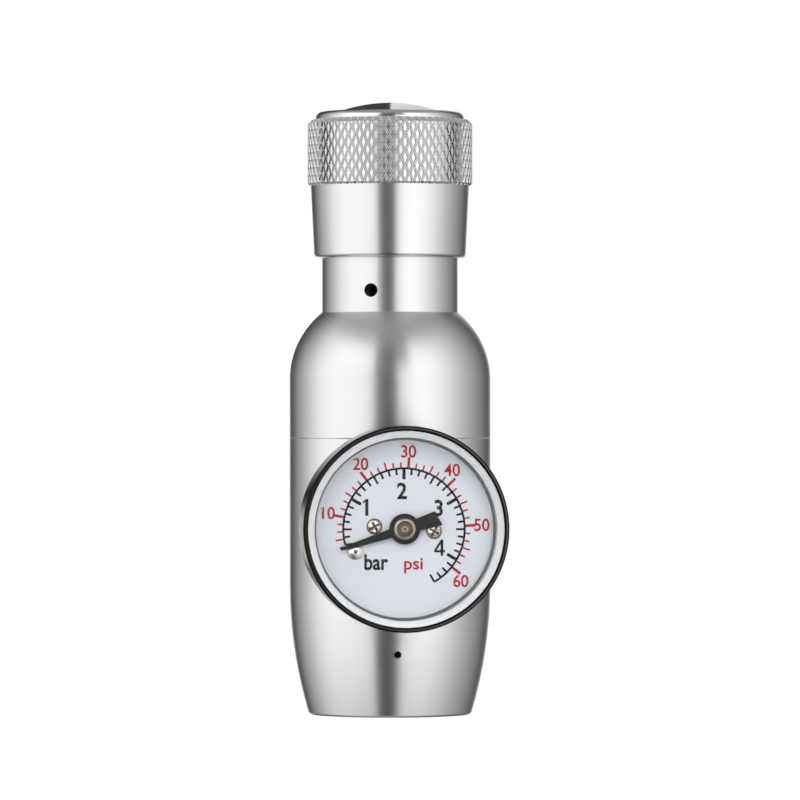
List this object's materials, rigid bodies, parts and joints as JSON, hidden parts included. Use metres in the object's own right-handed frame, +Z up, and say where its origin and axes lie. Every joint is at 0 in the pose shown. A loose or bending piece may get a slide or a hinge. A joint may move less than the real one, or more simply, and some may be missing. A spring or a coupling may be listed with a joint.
{
  "type": "miniature pressure regulator",
  "caption": "Small turned regulator with a knurled top knob, a round pressure gauge on a side stem and a threaded socket for a screw-in gas cartridge below.",
  "frame": {"origin": "centre of the bottom ring, on the axis of the cartridge socket's mouth", "axes": "+Z up along the turned body's axis towards the knob; -Y is the side the gauge faces; +Y is the side of the outlet port"},
  "size_m": [0.028, 0.0413, 0.0853],
  "materials": {
    "turned_aluminium": "satin, turned, clear anodised",
    "brass": "machined brass",
    "nickelled_brass": "dull nickel over brass",
    "steel": "machined stainless steel",
    "spring_steel": "spring steel",
    "seal_plastic": "hard white seal plastic",
    "seal_rubber": "black nitrile rubber",
    "filter_bronze": "sintered bronze",
    "case_metal": "black chrome plated steel",
    "lens_plastic": "clear moulded lens",
    "dial_paint": "white enamel with printed scale",
    "pointer_paint": "matt black"
  },
  "bodies": {
    "housing": {"lower_body": "turned_aluminium", "bonnet": "turned_aluminium", "inlet_insert": "brass", "cartridge_seal": "seal_plastic", "piercing_pin": "steel", "inlet_filter": "filter_bronze", "valve_seat": "seal_plastic", "seat_retainer": "brass", "poppet_spring": "spring_steel", "main_spring": "spring_steel", "gauge_stem": "brass", "gauge_seal_washer": "seal_plastic", "gauge_case": "case_metal", "gauge_lens": "lens_plastic", "gauge_dial": "dial_paint", "dial_screws": "nickelled_brass", "pointer_rest_pin": "nickelled_brass", "case_back_screws": "steel", "bourdon_tube": "brass", "tube_end_cap": "brass", "movement_back_plate": "brass", "movement_front_plate": "brass", "movement_pillars": "brass", "movement_screws": "steel", "hairspring": "spring_steel", "hairspring_stud": "brass"},
    "adjuster": {"spring_button": "steel"},
    "knob": {"adjusting_knob": "turned_aluminium", "knob_cap": "turned_aluminium", "adjusting_screw": "steel", "knob_screw": "steel"},
    "piston_group": {"piston": "turned_aluminium", "piston_ring": "seal_rubber"},
    "poppet": {"valve_poppet": "steel"},
    "sector": {"sector_gear": "brass", "sector_arbor": "steel"},
    "tube_link": {"link": "brass", "link_pin": "steel"},
    "pointer_group": {"pinion_arbor": "steel", "hairspring_collet": "brass", "pointer": "pointer_paint", "pointer_hub": "brass"}
  },
  "joints": [
    {"name": "adjuster_travel", "type": "slide", "parent": "housing", "child": "adjuster", "axis": [0, 0, 1], "range_m": [-0.006, 0], "deforming": ["main_spring"]},
    {"name": "knob_turn", "type": "hinge", "parent": "adjuster", "child": "knob", "pos_m": [0, 0, 0.0722], "axis": [0, 0, 1], "range_deg": [-2160, 0]},
    {"name": "piston_travel", "type": "slide", "parent": "housing", "child": "piston_group", "axis": [0, 0, 1], "range_m": [-0.0006, 0]},
    {"name": "poppet_travel", "type": "slide", "parent": "housing", "child": "poppet", "axis": [0, 0, 1], "range_m": [-0.0006, 0], "deforming": ["poppet_spring"]},
    {"name": "sector_swing", "type": "hinge", "parent": "housing", "child": "sector", "pos_m": [0, -0.02175, 0.0197], "axis": [0, -1, 0], "range_deg": [0, 25.77]},
    {"name": "pointer_turn", "type": "hinge", "parent": "housing", "child": "pointer_group", "pos_m": [0, -0.0235, 0.0263], "axis": [0, -1, 0], "range_deg": [-257.7, 0]},
    {"name": "link_swing", "type": "hinge", "parent": "sector", "child": "tube_link", "pos_m": [0.0018, -0.0213, 0.01844], "axis": [0, -1, 0], "range_deg": [-25.77, 0]}
  ],
  "couplings": [
    {"joint": "adjuster_travel", "follows": "knob_turn", "m_per_rad": 0.00015915},
    {"joint": "poppet_travel", "follows": "piston_travel", "ratio": 1},
    {"joint": "pointer_turn", "follows": "sector_swing", "ratio": -10},
    {"joint": "link_swing", "follows": "sector_swing", "ratio": -1}
  ]
}
